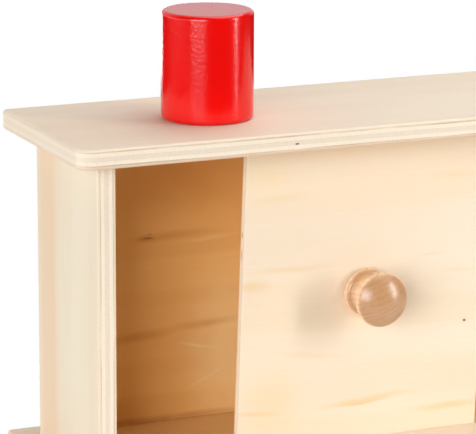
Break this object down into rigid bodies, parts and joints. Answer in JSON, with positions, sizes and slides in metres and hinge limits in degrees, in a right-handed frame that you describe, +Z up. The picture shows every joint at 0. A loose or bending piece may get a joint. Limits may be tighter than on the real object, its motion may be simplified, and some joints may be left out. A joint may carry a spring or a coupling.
{
  "type": "object permanence box",
  "caption": "Plywood box with a knobbed sliding door between overhanging plates and a loose red cylinder that a child hides behind the door and finds again.",
  "frame": {"origin": "middle of the base plate's underside", "axes": "+X to the right along the box, +Y to the back (the door and knob face -Y), +Z up"},
  "size_m": [0.308, 0.103, 0.2165],
  "materials": {
    "plywood": "satin clear lacquer",
    "back_plywood": "satin clear lacquer",
    "door_plywood": "satin clear lacquer",
    "beech": "satin clear lacquer",
    "red_lacquer": "gloss red lacquer on wood",
    "steel": "bright zinc plate"
  },
  "bodies": {
    "box": {"top_plate": "plywood", "base_plate": "plywood", "left_side_panel": "plywood", "right_side_panel": "plywood", "back_panel": "back_plywood", "top_dowels": "beech", "base_dowels": "beech", "back_panel_pins": "steel"},
    "door": {"sliding_door": "door_plywood", "door_knob": "beech", "knob_screw": "steel"},
    "cylinder": {"red_cylinder": "red_lacquer"}
  },
  "joints": [
    {"name": "door_slide", "type": "slide", "parent": "box", "child": "door", "axis": [1, 0, 0], "range_m": [-0.0647, 0.0683]},
    {"name": "cylinder_lift", "type": "slide", "parent": "box", "child": "cylinder", "axis": [0, 0, 1], "range_m": [0, 0.06]}
  ]
}
